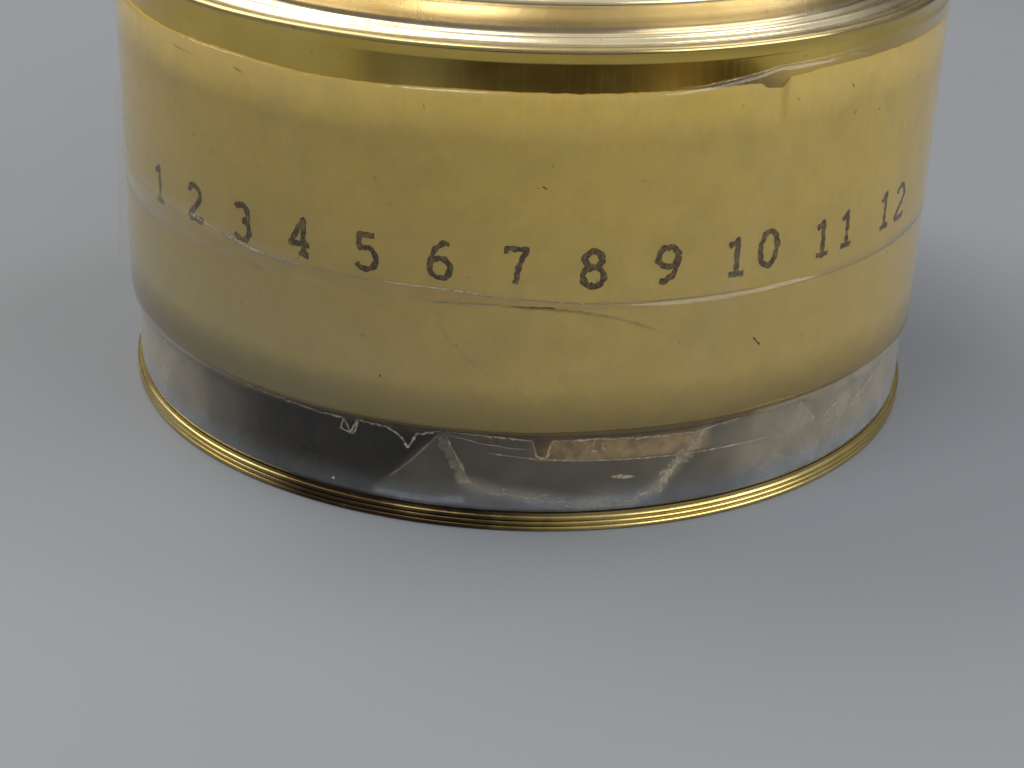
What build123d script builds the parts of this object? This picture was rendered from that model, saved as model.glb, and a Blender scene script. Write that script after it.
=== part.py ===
# Round gold-lacquered tin, taped shut, with a paper label round the skirt of its lid.
# Millimetres. +Z is up, the origin is the centre of the base, and the label faces -Y.
from build123d import *
import math
import os

# Tin
TIN_R = 32.0            # outer radius of the lid's skirt and of the base bead
SHEET = 0.25            # thickness of the tinplate
SLIP = 0.15             # gap between the lid's skirt and the body inside it
LID_EDGE_Z = 7.6        # lower edge of the lid's skirt

# Lid top, from the shoulder inwards
SHOULDER_Z = 34.8       # top of the rounded shoulder
SHOULDER_ROUND = 0.35
SHOULDER_PROUD = 0.08   # how far the shoulder stands outside the skirt
STEP_Z = 34.7           # flat ring between the shoulder and the raised panel
RIDGE_R = 30.3          # middle of the pressed ridge in that ring
RIDGE_HALF = 0.45       # half the ridge's width
RIDGE_RISE = 0.35
FOOT_R = 28.85          # middle of the low ridge at the foot of the raised panel
FOOT_HALF = 0.35
FOOT_RISE = 0.25
SIDE_R = 28.15          # radius of the raised panel's side
RIM_ROUND = 0.4         # radius of the bead round the panel
RIM_PROUD = 0.15        # how far that bead stands outside the panel's side
TOP_Z = 37.0            # top of that bead, the highest point of the tin
PANEL_Z = 36.6          # flat middle of the panel

# Body: closed, and hidden by the lid from LID_EDGE_Z upwards
BODY_R = TIN_R - SHEET - SLIP
BODY_TOP_Z = STEP_Z - SHEET
BODY_TOP_ROUND = 0.9
BEAD_Z = 1.2            # height of the rolled bead round the base
BEAD_ROLLS = 3          # rolls that two fine grooves divide the bead into
FOOT_RING_R = 31.0      # inner edge of the ring that the tin stands on
BASE_Z = 1.0            # height of the flat base above that ring
BASE_SLOPE = 0.6        # width of the slope from the ring up to the base
BASE_RIDGE_R = 24.0     # middle of the stiffening ridge in the base
BASE_RIDGE_HALF = 0.9
BASE_RIDGE_DROP = 0.45

# Paper label
PAPER = 0.12
LABEL_Z0 = 7.9
LABEL_Z1 = 31.8
LABEL_GAP_DEG = 1.5     # gap between its two ends, at the back

# Clear tape: two bands, the upper one lapped over the lower one
FILM = 0.08
LOWER_Z0 = 1.45
LOWER_Z1 = 17.9
UPPER_Z0 = 17.1
UPPER_Z1 = 33.1
LANDING_Z = 6.9         # where the lower band lands on the body, below the lid's edge
EDGE_CLEAR = 0.05       # height by which it clears that edge on the way
SETTLE = 0.5            # height in which a band comes down from an edge under it

# Loose end of the upper band, at the left, in degrees from the front
TAB_ROOT_DEG = -116.0
TAB_TIP_DEG = -79.0
TAB_LIFT = 0.8          # how far its free edge stands off
TAB_Z0 = 9.3            # it hangs askew, below the band itself
TAB_Z1 = 22.5
TAB_CLEAR = 0.01        # gap between it and the lower band under its root


def at(radius, height):
    """Point of a section through the axis."""
    return Vector(radius, 0, height)


def in_plan(radius, degrees_from_front):
    """Point of a plan, at an angle from the front that is positive to the right."""
    turn = math.radians(degrees_from_front)
    return Vector(radius * math.sin(turn), -radius * math.cos(turn), 0)


def roll(centre_r, centre_z, radius, start_deg, end_deg):
    """Arc of a section about a centre, where 0 degrees is outwards and 90 degrees is up."""
    points = []
    for stop in (start_deg, (start_deg + end_deg) / 2, end_deg):
        turn = math.radians(stop)
        points.append(at(centre_r + radius * math.cos(turn), centre_z + radius * math.sin(turn)))
    return ThreePointArc(*points)


def ridge(from_r, to_r, foot_z, rise):
    """Arc of a pressed ridge, from one foot to the other."""
    return ThreePointArc(at(from_r, foot_z), at((from_r + to_r) / 2, foot_z + rise), at(to_r, foot_z))


def turned(curves, arc_deg=360.0):
    """Solid swept round the axis by a section, with straight lines between the given curves."""
    outline = []
    for curve, following in zip(curves, curves[1:] + curves[:1]):
        outline.extend(curve.edges())
        if (following @ 0 - curve @ 1).length > 1e-6:
            outline.append(Line(curve @ 1, following @ 0).edge())
    return revolve(Face(Wire(outline)), axis=Axis.Z, revolution_arc=arc_deg)


def bead_angles(proud, radius, drop):
    """Where a bead leaves the wall that it stands proud of, and the flat it ends on."""
    start_deg = -math.degrees(math.acos(1 - proud / radius))
    end_deg = 180 - math.degrees(math.asin(1 - drop / radius))
    return start_deg, end_deg


def make_lid():
    """Drawn lid: skirt, rounded shoulder, two pressed ridges, raised panel with a bead."""
    shoulder_r = TIN_R + SHOULDER_PROUD - SHOULDER_ROUND
    shoulder_ends = bead_angles(SHOULDER_PROUD, SHOULDER_ROUND, SHOULDER_Z - STEP_Z)
    rim_r = SIDE_R + RIM_PROUD - RIM_ROUND
    rim_ends = bead_angles(RIM_PROUD, RIM_ROUND, TOP_Z - PANEL_Z)
    return turned([
        Line(at(TIN_R - SHEET, LID_EDGE_Z), at(TIN_R, LID_EDGE_Z)),
        roll(shoulder_r, SHOULDER_Z - SHOULDER_ROUND, SHOULDER_ROUND, *shoulder_ends),
        ridge(RIDGE_R + RIDGE_HALF, RIDGE_R - RIDGE_HALF, STEP_Z, RIDGE_RISE),
        ridge(FOOT_R + FOOT_HALF, FOOT_R - FOOT_HALF, STEP_Z, FOOT_RISE),
        Line(at(SIDE_R, STEP_Z), at(SIDE_R, TOP_Z - 2 * RIM_ROUND)),
        roll(rim_r, TOP_Z - RIM_ROUND, RIM_ROUND, *rim_ends),
        Line(at(0, PANEL_Z), at(0, PANEL_Z - SHEET)),
        Line(at(SIDE_R - SHEET, PANEL_Z - SHEET), at(SIDE_R - SHEET, STEP_Z - SHEET)),
        Line(at(TIN_R - SHEET, STEP_Z - SHEET), at(TIN_R - SHEET, LID_EDGE_Z + SHEET)),
    ])


def make_body():
    """Closed body: base pressed up inside a foot ring, rolled bead, and a plain wall."""
    round_r = BEAD_Z / BEAD_ROLLS / 2
    rolls = []
    for turn in range(BEAD_ROLLS):
        rolls.append(roll(TIN_R - round_r, (2 * turn + 1) * round_r, round_r, -90, 90))
    return turned([
        Line(at(0, BODY_TOP_Z), at(0, BASE_Z)),
        ridge(BASE_RIDGE_R - BASE_RIDGE_HALF, BASE_RIDGE_R + BASE_RIDGE_HALF, BASE_Z, -BASE_RIDGE_DROP),
        Line(at(FOOT_RING_R - BASE_SLOPE, BASE_Z), at(FOOT_RING_R, 0)),
        *rolls,
        Line(at(BODY_R, BEAD_Z), at(BODY_R, BODY_TOP_Z - BODY_TOP_ROUND)),
        roll(BODY_R - BODY_TOP_ROUND, BODY_TOP_Z - BODY_TOP_ROUND, BODY_TOP_ROUND, 0, 90),
    ])


def band(path, thickness, arc_deg=360.0):
    """Thin band round the tin, its inner face given from its lower edge to its upper one."""
    outward = Vector(thickness, 0, 0)
    inner = Polyline(*reversed(path))
    outer = Polyline(*[point + outward for point in path])
    return turned([outer, inner], arc_deg)


def make_label():
    """Paper strip round the lid's skirt, its ends not quite meeting at the back."""
    strip = band([at(TIN_R, LABEL_Z0), at(TIN_R, LABEL_Z1)], PAPER, 360.0 - LABEL_GAP_DEG)
    back_deg = 90.0
    return strip.rotate(Axis.Z, back_deg + LABEL_GAP_DEG / 2)


def make_lower_tape():
    """Band that runs down from the label, past the lid's edge and onto the body."""
    return band([
        at(BODY_R, LOWER_Z0),
        at(BODY_R, LANDING_Z),
        at(TIN_R, LID_EDGE_Z - EDGE_CLEAR),
        at(TIN_R + PAPER, LABEL_Z0),
        at(TIN_R + PAPER, LOWER_Z1),
    ], FILM)


def loose_end():
    """Free end of the upper band, leaving it at the root and standing off at the tip."""
    root_r = TIN_R + PAPER + FILM + TAB_CLEAR
    middle_deg = (TAB_ROOT_DEG + TAB_TIP_DEG) / 2
    stations = [(TAB_ROOT_DEG, 0.0), (middle_deg, TAB_LIFT / 4), (TAB_TIP_DEG, TAB_LIFT)]
    inner = ThreePointArc(*[in_plan(root_r + lift, turn) for turn, lift in stations])
    outer = ThreePointArc(*[in_plan(root_r + FILM + lift, turn) for turn, lift in reversed(stations)])
    outline = [inner, Line(inner @ 1, outer @ 0), outer, Line(outer @ 1, inner @ 0)]
    face = Face(Wire([curve.edge() for curve in outline]))
    return Pos(0, 0, TAB_Z0) * extrude(face, TAB_Z1 - TAB_Z0, dir=(0, 0, 1))


def make_upper_tape():
    """Band that laps over the lower one and runs up onto the bare skirt above the label."""
    ring = band([
        at(TIN_R + PAPER + FILM, UPPER_Z0),
        at(TIN_R + PAPER + FILM, LOWER_Z1),
        at(TIN_R + PAPER, LOWER_Z1 + SETTLE),
        at(TIN_R + PAPER, LABEL_Z1),
        at(TIN_R, LABEL_Z1 + SETTLE),
        at(TIN_R, UPPER_Z1),
    ], FILM)
    return ring + loose_end()


nodes = {
    "tin_body": make_body,
    "tin_lid": make_lid,
    "paper_label": make_label,
    "lower_tape": make_lower_tape,
    "upper_tape": make_upper_tape,
}
os.makedirs("parts", exist_ok=True)
for name, make in nodes.items():
    export_step(make(), f"parts/{name}.step")
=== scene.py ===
import bpy
import math
import random
from mathutils import Matrix, Vector, noise


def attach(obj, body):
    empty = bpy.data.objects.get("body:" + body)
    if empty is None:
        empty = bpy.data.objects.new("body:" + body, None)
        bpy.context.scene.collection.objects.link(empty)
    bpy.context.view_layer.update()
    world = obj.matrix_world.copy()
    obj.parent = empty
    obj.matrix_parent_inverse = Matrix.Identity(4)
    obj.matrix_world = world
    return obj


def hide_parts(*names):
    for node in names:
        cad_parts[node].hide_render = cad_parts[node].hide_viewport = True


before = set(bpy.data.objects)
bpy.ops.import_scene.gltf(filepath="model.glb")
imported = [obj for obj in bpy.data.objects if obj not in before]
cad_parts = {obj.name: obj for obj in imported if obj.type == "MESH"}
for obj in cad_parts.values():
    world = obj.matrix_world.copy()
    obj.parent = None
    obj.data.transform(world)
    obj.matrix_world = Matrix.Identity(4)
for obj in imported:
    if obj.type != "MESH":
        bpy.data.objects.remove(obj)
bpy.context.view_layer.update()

# Round gold-lacquered tin, taped shut, with a typed paper label.
# Lengths are in millimetres up to spot(), which turns them into Blender's metres. Angles round
# the tin are in degrees from the front, positive to the right.
MM = 0.001

# Sizes shared with the solids
TIN_R = 32.0
SHEET = 0.25
BODY_R = 31.6
LID_EDGE_Z = 7.6
SHOULDER_Z = 34.8
SHOULDER_ROUND = 0.35
SHOULDER_PROUD = 0.08
STEP_Z = 34.7
STEP_OUTER_R = 31.45        # where the step's flat begins inside the shoulder
RIDGE_R = 30.3
RIDGE_HALF = 0.45
RIDGE_RISE = 0.35
FOOT_R = 28.85
FOOT_HALF = 0.35
FOOT_RISE = 0.25
SIDE_R = 28.15
RIM_ROUND = 0.4
RIM_PROUD = 0.15
TOP_Z = 37.0
PANEL_Z = 36.6
PANEL_EDGE_R = 27.2
PANEL_FLAT_R = 26.6
BODY_TOP_Z = 34.45
BODY_TOP_ROUND = 0.9
BEAD_Z = 1.2
BEAD_ROLLS = 3
FOOT_RING_R = 31.0
BASE_Z = 1.0
BASE_SLOPE = 0.6
BASE_RIDGE_R = 24.0
BASE_RIDGE_HALF = 0.9
BASE_RIDGE_DROP = 0.45
PAPER = 0.12
PAPER_R = TIN_R + PAPER     # outside of the paper label
FILM = 0.03                 # thickness of the tape
LABEL_LOW = 9.0             # marks on the paper keep between these heights
LABEL_HIGH = 30.6
PITCH_DEG = 4.559           # one step of the typed line
ARC = math.radians(1) * TIN_R   # length of one degree of the wall


# Points and meshes

def spot(angle, height, radius):
    """Blender's point for a place round the tin."""
    turn = math.radians(angle)
    return Vector((radius * math.sin(turn), -radius * math.cos(turn), height)) * MM


def smooth(low, high, value):
    """0 below low, 1 above high, with a soft passage between."""
    part = min(max((value - low) / (high - low), 0.0), 1.0)
    return part * part * (3 - 2 * part)


def steps(low, high, count):
    """Even steps from low to high, with both ends."""
    return [low + (high - low) * k / count for k in range(count + 1)]


def along(points, angle):
    """Height of a line of (angle, height) points at an angle, straight between the points."""
    if angle <= points[0][0]:
        return points[0][1]
    for (a0, h0), (a1, h1) in zip(points, points[1:]):
        if angle <= a1:
            return h0 + (h1 - h0) * (angle - a0) / (a1 - a0)
    return points[-1][1]


def ripple(angle, height, size, seed=0.0):
    """Even noise from -1 to 1 on the tin's wall, with lumps of about that size."""
    turn = math.radians(angle)
    place = Vector((TIN_R * math.sin(turn), -TIN_R * math.cos(turn), height)) / size
    return noise.noise(place + Vector((seed, seed * 0.7, -seed)))


def near(path, angle, height):
    """Distance in millimetres from a place on the wall to an (angle, height) path."""
    place = Vector((angle * ARC, height))
    nearest = 99.0
    for (a0, h0), (a1, h1) in zip(path, path[1:]):
        start = Vector((a0 * ARC, h0))
        run = Vector((a1 * ARC, h1)) - start
        part = min(max((place - start).dot(run) / run.length_squared, 0.0), 1.0)
        nearest = min(nearest, (place - start - run * part).length)
    return nearest


def link_object(name, data):
    """New object in the scene, with that mesh, lamp or camera."""
    obj = bpy.data.objects.new(name, data)
    bpy.context.scene.collection.objects.link(obj)
    return obj


def mesh_object(name, points, faces, material, flat_faces=(), back_faces=(), back=None):
    """Object with a mesh of its own. back_faces are smooth too, and take the material back."""
    mesh = bpy.data.meshes.new(name)
    mesh.from_pydata(points, [], [*faces, *back_faces, *flat_faces])
    mesh.materials.append(material)
    if back is not None:
        mesh.materials.append(back)
    soft = len(faces) + len(back_faces)
    for face in mesh.polygons:
        face.use_smooth = face.index < soft
        if back is not None and len(faces) <= face.index < soft:
            face.material_index = 1
    mesh.update()
    return link_object(name, mesh)


def wrap(stops, heights, inner_r, thick, closed):
    """Points and faces of a thin closed sheet round the tin.

    stops are the angles, heights(angle) gives the rows from bottom to top, and
    inner_r(angle, height) gives the inner face. Returns the points, the outer, inner and rim
    faces, and each point's place.
    """
    points, places = [], []
    for angle in stops:
        for height in heights(angle):
            radius = inner_r(angle, height)
            points.append(spot(angle, height, radius + thick))
            points.append(spot(angle, height, radius))
            places += [(angle, height), (angle, height)]
    rows = len(places) // len(stops) // 2
    columns = len(stops)

    def outer(i, j):
        return ((i % columns) * rows + j) * 2

    def inner(i, j):
        return outer(i, j) + 1

    outsides, insides, rims = [], [], []
    last = columns if closed else columns - 1
    for i in range(last):
        for j in range(rows - 1):
            outsides.append((outer(i, j), outer(i + 1, j), outer(i + 1, j + 1), outer(i, j + 1)))
            insides.append((inner(i, j), inner(i, j + 1), inner(i + 1, j + 1), inner(i + 1, j)))
        rims.append((outer(i, 0), inner(i, 0), inner(i + 1, 0), outer(i + 1, 0)))
        top = rows - 1
        rims.append((outer(i, top), outer(i + 1, top), inner(i + 1, top), inner(i, top)))
    if not closed:
        for j in range(rows - 1):
            rims.append((outer(0, j), outer(0, j + 1), inner(0, j + 1), inner(0, j)))
            rims.append((outer(last, j), inner(last, j), inner(last, j + 1), outer(last, j + 1)))
    return points, outsides, insides, rims, places


def set_share(obj, name, values):
    """Stores one number per point, for the material to read."""
    store = obj.data.attributes.new(name, "FLOAT", "POINT")
    store.data.foreach_set("value", values)


def dense(path, step):
    """The (angle, height) path with a point at least every step millimetres."""
    points = [path[0]]
    for (a0, h0), (a1, h1) in zip(path, path[1:]):
        parts = max(1, math.ceil(math.hypot((a1 - a0) * ARC, h1 - h0) / step))
        for k in range(1, parts + 1):
            points.append((a0 + (a1 - a0) * k / parts, h0 + (h1 - h0) * k / parts))
    return points


def rounded(path, rounds=2):
    """The path with its corners cut, for a soft line."""
    for _ in range(rounds):
        cut = [path[0]]
        for (a0, h0), (a1, h1) in zip(path, path[1:]):
            cut.append((a0 * 0.75 + a1 * 0.25, h0 * 0.75 + h1 * 0.25))
            cut.append((a0 * 0.25 + a1 * 0.75, h0 * 0.25 + h1 * 0.75))
        path = cut + [path[-1]]
    return path


THINNEST = 0.015            # half the width that a strip keeps at its ends


class Strips:
    """Gathers thin closed strips that lie on the wall, and makes one object of them."""

    def __init__(self, seed):
        self.chance = random.Random(seed)
        self.points, self.faces, self.shares = [], [], []

    def add(self, path, width, radius, thick=0.01, rough=0.4, share=1.0,
            step=0.12, stray=0.0, taper=0.0):
        """One strip along an (angle, height) path.

        rough varies its width, stray moves its line to and fro in millimetres, share is how
        much it covers, and taper is the length over which its ends run out.
        """
        flat = [Vector((a * ARC, h)) for a, h in dense(path, step)]
        first = len(self.points)
        shift = self.chance.uniform(0, 50)
        total = len(flat) - 1
        for k, point in enumerate(flat):
            ahead = flat[min(k + 1, total)] - flat[max(k - 1, 0)]
            side = Vector((-ahead.y, ahead.x)).normalized()
            run = k * step
            wide_bends = noise.noise(Vector((run * 1.1, shift, 0)))
            small_bends = noise.noise(Vector((run * 3.1, shift, 5)))
            off = stray * (wide_bends + 0.6 * small_bends)
            fade = 1.0
            if taper > 0:
                fade = smooth(-0.2 * taper, taper, min(k, total - k) * step)
            for sign in (-1, 1):
                uneven = noise.noise(Vector((run * 2.6, shift + 7 * sign, 9)))
                half = max(width / 2 * fade * (1 + rough * 2 * uneven), THINNEST)
                edge = point + side * (off + half * sign)
                angle, height = edge.x / ARC, edge.y
                base = radius(angle, height) if callable(radius) else radius
                self.points.append(spot(angle, height, base + thick))
                self.points.append(spot(angle, height, base))
                self.shares += [share * fade, share * fade]
        for k in range(total):
            a = first + 4 * k
            b = a + 4
            self.faces += [(a, a + 2, b + 2, b), (a + 1, b + 1, b + 3, a + 3),
                           (a, b, b + 1, a + 1), (a + 2, a + 3, b + 3, b + 2)]
        end = first + 4 * total
        self.faces += [(first, first + 1, first + 3, first + 2), (end, end + 2, end + 3, end + 1)]

    def scatter(self, path, count, spread, length, width, radius, share,
                low=BEAD_Z + 0.5, high=LABEL_HIGH):
        """Short crooked strips strewn along a path, between two heights."""
        line = dense(path, 0.05)
        for _ in range(count):
            angle, height = self.chance.choice(line)
            angle += self.chance.gauss(0, spread) / ARC
            height = min(max(height + self.chance.gauss(0, spread), low), high)
            turn = self.chance.uniform(0, math.pi)
            reach = self.chance.uniform(*length) / 2
            bend = self.chance.uniform(-0.4, 0.4) * reach
            across, up = math.cos(turn), math.sin(turn)
            bits = []
            for part in (-1, -0.4, 0.4, 1):
                x = part * reach * across - bend * (1 - part * part) * up
                y = part * reach * up + bend * (1 - part * part) * across
                bits.append((angle + x / ARC, height + y))
            self.add(bits, self.chance.uniform(*width), radius, rough=0.5,
                     share=self.chance.uniform(*share), step=0.09, stray=0.03, taper=0.25)

    def make(self, name, material):
        obj = mesh_object(name, self.points, [], material, self.faces)
        set_share(obj, "share", self.shares)
        return obj


# Tinplate

def roll(centre_r, centre_z, radius, start, end, parts=10):
    """Arc of a section: 0 degrees is outwards, 90 degrees is up."""
    points = []
    for degrees in steps(start, end, parts):
        turn = math.radians(degrees)
        points.append((centre_r + radius * math.cos(turn), centre_z + radius * math.sin(turn)))
    return points


HUMP_CURVE = 1.4            # above 1, a ridge's foot runs out softly
FLAT_GAP = 0.06             # between a flat ring and the ridge beside it
OUTER_BOW = 0.07            # how far the flat rings bow upwards
INNER_BOW = 0.06


def hump(from_r, to_r, foot_z, rise, parts=12):
    """Pressed ridge of a section, rising and falling smoothly."""
    points = []
    for k in range(parts + 1):
        part = k / parts
        height = foot_z + rise * math.sin(math.pi * part) ** HUMP_CURVE
        points.append((from_r + (to_r - from_r) * part, height))
    return points


def bead_angles(proud, radius, drop):
    """Angles of a bead from the wall that it stands proud of to the flat that it ends on."""
    start = -math.degrees(math.acos(1 - proud / radius))
    end = 180 - math.degrees(math.asin(1 - drop / radius))
    return start, end


def turned(name, outline, closed, stray, material, columns=600):
    """Solid of revolution, from an outline that goes up the outside.

    stray(angle, radius, height) says how far each point moves outwards and upwards.
    """
    points, rings = [], []
    for radius, height in outline:
        if radius < 1e-6:
            rings.append([len(points)] * columns)
            points.append(spot(0, height, 0))
            continue
        rings.append(list(range(len(points), len(points) + columns)))
        for angle in steps(-180, 180, columns)[:-1]:
            out, up = stray(angle, radius, height)
            points.append(spot(angle, height + up, radius + out))
    faces = []
    pairs = list(zip(rings, rings[1:] + rings[:1])) if closed else list(zip(rings, rings[1:]))
    for low, high in pairs:
        for k in range(columns):
            after = (k + 1) % columns
            corners = [low[k], low[after], high[after], high[k]]
            corners = [c for i, c in enumerate(corners) if c not in corners[:i]]
            if len(corners) > 2:
                faces.append(tuple(corners))
    obj = mesh_object(name, points, faces, material)
    obj.data.set_sharp_from_angle(angle=math.radians(50))
    return obj


def make_lid(material):
    """Drawn lid: skirt, rounded shoulder, two pressed ridges, raised panel with a bead."""
    shoulder_r = TIN_R + SHOULDER_PROUD - SHOULDER_ROUND
    rim_r = SIDE_R + RIM_PROUD - RIM_ROUND
    outline = [(TIN_R, LID_EDGE_Z + 0.9 * k) for k in range(30)]
    outline += roll(shoulder_r, SHOULDER_Z - SHOULDER_ROUND, SHOULDER_ROUND,
                    *bead_angles(SHOULDER_PROUD, SHOULDER_ROUND, SHOULDER_Z - STEP_Z))
    outline += hump(STEP_OUTER_R, RIDGE_R + RIDGE_HALF + FLAT_GAP, STEP_Z, OUTER_BOW, 6)[1:]
    outline += hump(RIDGE_R + RIDGE_HALF, RIDGE_R - RIDGE_HALF, STEP_Z, RIDGE_RISE)
    outline += hump(RIDGE_R - RIDGE_HALF - FLAT_GAP, FOOT_R + FOOT_HALF + FLAT_GAP,
                    STEP_Z, INNER_BOW, 6)
    outline += hump(FOOT_R + FOOT_HALF, FOOT_R - FOOT_HALF, STEP_Z, FOOT_RISE)
    outline += [(SIDE_R + 0.12, STEP_Z), (SIDE_R + 0.02, STEP_Z + 0.1), (SIDE_R, STEP_Z + 0.5)]
    outline += roll(rim_r, TOP_Z - RIM_ROUND, RIM_ROUND,
                    *bead_angles(RIM_PROUD, RIM_ROUND, TOP_Z - PANEL_Z))
    outline += [(PANEL_EDGE_R, PANEL_Z - 0.03), (PANEL_FLAT_R, PANEL_Z)]
    outline += [(radius, PANEL_Z + 0.02) for radius in (24, 20, 16, 12, 8, 4, 0)]
    outline += [(0, PANEL_Z - SHEET), (SIDE_R - SHEET, PANEL_Z - SHEET),
                (SIDE_R - SHEET, STEP_Z - SHEET), (TIN_R - SHEET, STEP_Z - SHEET),
                (TIN_R - SHEET, LID_EDGE_Z)]

    def stray(angle, radius, height):
        if radius < SIDE_R - SHEET + 0.01 and height < PANEL_Z:
            return 0.0, 0.0
        if height > STEP_Z - 0.01:
            return 0.008 * ripple(angle, 0, 9.0, 7.0), 0.006 * (ripple(angle, 0, 5.0, 17.0) - 1)
        return 0.006 * ripple(angle, height, 14.0, 27.0), 0.0

    return turned("tin_lid_shell", outline, True, stray, material)


def make_body(material):
    """Closed body: base pressed up inside a foot ring, rolled bead, plain wall."""
    round_r = BEAD_Z / BEAD_ROLLS / 2
    outline = [(0, BASE_Z), (12, BASE_Z)]
    outline += hump(BASE_RIDGE_R - BASE_RIDGE_HALF, BASE_RIDGE_R + BASE_RIDGE_HALF,
                    BASE_Z, -BASE_RIDGE_DROP)
    outline += [(FOOT_RING_R - BASE_SLOPE, BASE_Z), (FOOT_RING_R, 0)]
    for turn in range(BEAD_ROLLS):
        outline += roll(TIN_R - round_r, (2 * turn + 1) * round_r, round_r, -90, 90, 8)
    outline += [(BODY_R, BEAD_Z + 0.02)] + [(BODY_R, 1.6 + 0.7 * k) for k in range(10)]
    outline += roll(BODY_R - BODY_TOP_ROUND, BODY_TOP_Z - BODY_TOP_ROUND, BODY_TOP_ROUND, 0, 90, 6)
    outline += [(0, BODY_TOP_Z)]

    def stray(angle, radius, height):
        if radius < BODY_R - 0.01 or height > 8:
            return 0.0, 0.0
        if height < BEAD_Z:
            return min(0.0, 0.02 * ripple(angle, 0, 6.0, 37.0)), 0.0
        return 0.01 * ripple(angle, height, 5.0, 47.0), 0.0

    return turned("tin_body_shell", outline, False, stray, material)


# Materials

class Nodes:
    """Adds nodes to a tree. A socket given as an input is linked, anything else is set."""

    def __init__(self, tree):
        self.tree = tree
        tree.nodes.clear()

    def add(self, kind, settings=None, inputs=None):
        node = self.tree.nodes.new(kind)
        for key, value in (settings or {}).items():
            setattr(node, key, value)
        for key, value in (inputs or {}).items():
            if isinstance(value, bpy.types.NodeSocket):
                self.tree.links.new(value, node.inputs[key])
            else:
                node.inputs[key].default_value = value
        return node

    def math(self, operation, a, b=0.0, c=0.0, clamp=False):
        node = self.add("ShaderNodeMath", {"operation": operation, "use_clamp": clamp},
                        {0: a, 1: b, 2: c})
        return node.outputs[0]

    def times(self, a, b, clamp=False):
        return self.math("MULTIPLY", a, b, clamp=clamp)

    def scaled(self, value, by, plus):
        return self.math("MULTIPLY_ADD", value, by, plus)

    def passage(self, value, low, high, to_low=0.0, to_high=1.0):
        node = self.add("ShaderNodeMapRange", {"interpolation_type": "SMOOTHSTEP"},
                        {0: value, 1: low, 2: high, 3: to_low, 4: to_high})
        return node.outputs[0]

    def window(self, value, low, high, soft):
        """1 between low and high, 0 outside, with soft edges of that width."""
        rise = self.passage(value, low - soft, low + soft)
        fall = self.passage(value, high - soft, high + soft, 1.0, 0.0)
        return self.times(rise, fall)

    def mix(self, share, a, b):
        node = self.add("ShaderNodeMix", {"data_type": "RGBA"}, {0: share, 6: a, 7: b})
        return node.outputs[2]

    def tinted(self, colour, mask, strength, tint):
        """The colour with a tint laid over it where the mask is 1."""
        return self.mix(self.times(mask, strength), colour, tint)


class Paint(Nodes):
    """Nodes of one material, with the place on the tin in millimetres."""

    def __init__(self, name):
        self.material = bpy.data.materials.new(name)
        self.material.use_nodes = True
        super().__init__(self.material.node_tree)
        place = self.add("ShaderNodeTexCoord").outputs["Object"]
        self.place = self.add("ShaderNodeVectorMath", {"operation": "SCALE"},
                              {0: place, "Scale": 1 / MM}).outputs[0]
        split = self.add("ShaderNodeSeparateXYZ", {}, {0: self.place})
        self.x, self.y, self.height = split.outputs

    def around(self):
        """Angle from the front in degrees."""
        back = self.times(self.y, -1.0)
        return self.math("DEGREES", self.math("ARCTAN2", self.x, back))

    def radius(self):
        """Distance from the tin's axis."""
        squares = self.math("ADD", self.math("POWER", self.x, 2.0), self.math("POWER", self.y, 2.0))
        return self.math("SQRT", squares)

    def stretched(self, x, y, z):
        node = self.add("ShaderNodeVectorMath", {"operation": "MULTIPLY"},
                        {0: self.place, 1: (x, y, z)})
        return node.outputs[0]

    def noise(self, scale, detail=3.0, rough=0.55, vector=None, low=0.3, high=0.7):
        """Cloudy noise per millimetre, spread from 0 to 1."""
        node = self.add("ShaderNodeTexNoise", {}, {
            "Vector": vector or self.place, "Scale": scale, "Detail": detail, "Roughness": rough})
        return self.passage(node.outputs[0], low, high)

    def bump(self, height, distance_mm, strength=1.0, normal=None):
        inputs = {"Strength": strength, "Distance": distance_mm * MM, "Height": height}
        if normal is not None:
            inputs["Normal"] = normal
        return self.add("ShaderNodeBump", {}, inputs).outputs[0]

    def attribute(self, name):
        return self.add("ShaderNodeAttribute", {"attribute_name": name}).outputs["Fac"]

    def principled(self, inputs):
        return self.add("ShaderNodeBsdfPrincipled", {}, inputs)

    def blended(self, share, first, second):
        """Shader that goes from the first to the second with the share."""
        return self.add("ShaderNodeMixShader", {},
                        {0: share, 1: first.outputs[0], 2: second.outputs[0]})

    def cover(self, share, shader):
        """Finished material: the shader on that share of it, and clear elsewhere."""
        return self.finish(self.blended(share, self.add("ShaderNodeBsdfTransparent"), shader))

    def finish(self, shader):
        self.add("ShaderNodeOutputMaterial", {}, {"Surface": shader.outputs[0]})
        return self.material


def rgb(red, green, blue):
    return (red, green, blue, 1.0)


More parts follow.
